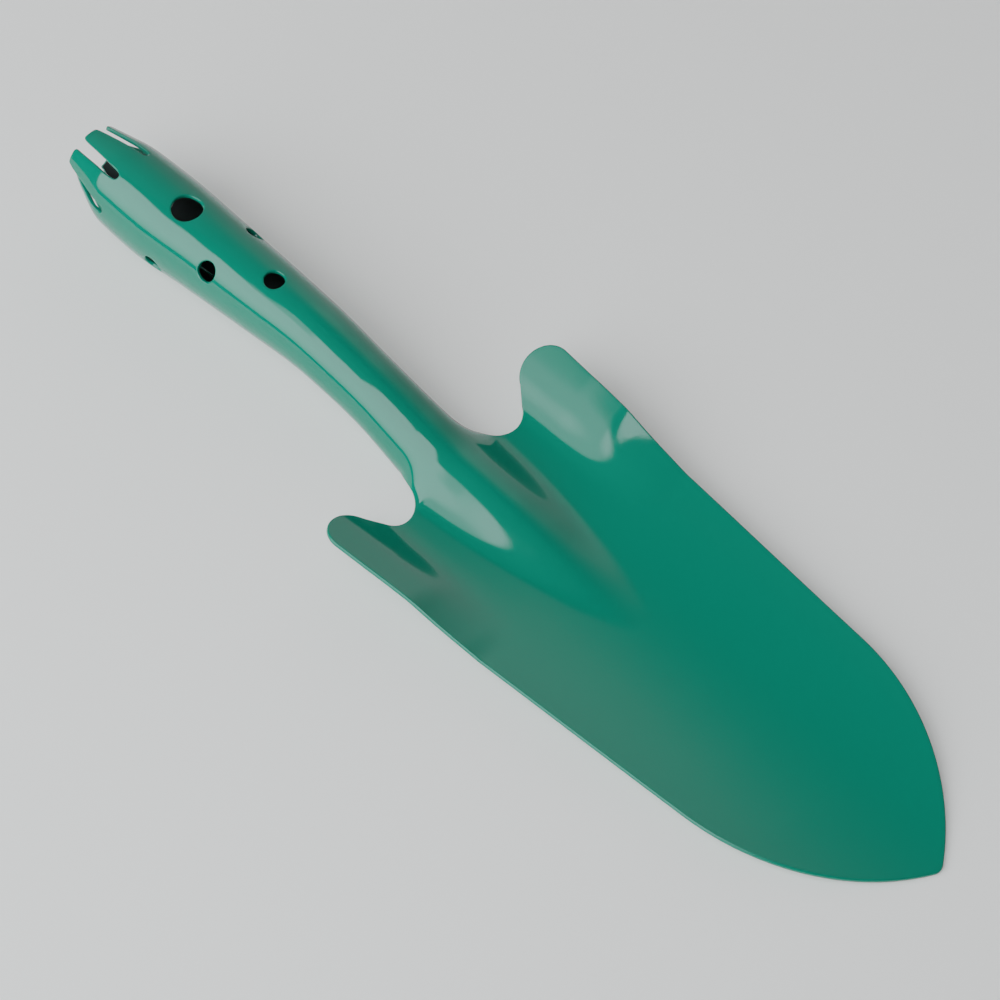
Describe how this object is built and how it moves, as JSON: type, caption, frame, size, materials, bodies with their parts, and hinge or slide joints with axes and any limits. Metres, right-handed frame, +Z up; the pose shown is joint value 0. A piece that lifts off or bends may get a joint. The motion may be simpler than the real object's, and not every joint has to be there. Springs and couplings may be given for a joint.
{
  "type": "hand trowel",
  "caption": "Sheet-steel hand trowel: a shallow pointed scoop with a stiffening ridge that runs into a hollow rolled handle with a hanging hole and a slotted tail.",
  "frame": {"origin": "on the ground, under the middle of the trowel's bounding box as it lies with its scoop upwards", "axes": "+X towards the point of the blade, +Y across the blade, +Z up out of the scoop"},
  "size_m": [0.2969, 0.083, 0.0273],
  "materials": {
    "enamelled_steel": "glossy green enamel over pressed sheet steel"
  },
  "bodies": {
    "root": {"blade": "enamelled_steel", "neck": "enamelled_steel", "handle_tube": "enamelled_steel", "tail_finger_1": "enamelled_steel", "tail_finger_2": "enamelled_steel", "tail_finger_3": "enamelled_steel", "tail_finger_4": "enamelled_steel", "tail_finger_5": "enamelled_steel", "tail_finger_6": "enamelled_steel", "tail_finger_7": "enamelled_steel"}
  },
  "joints": []
}
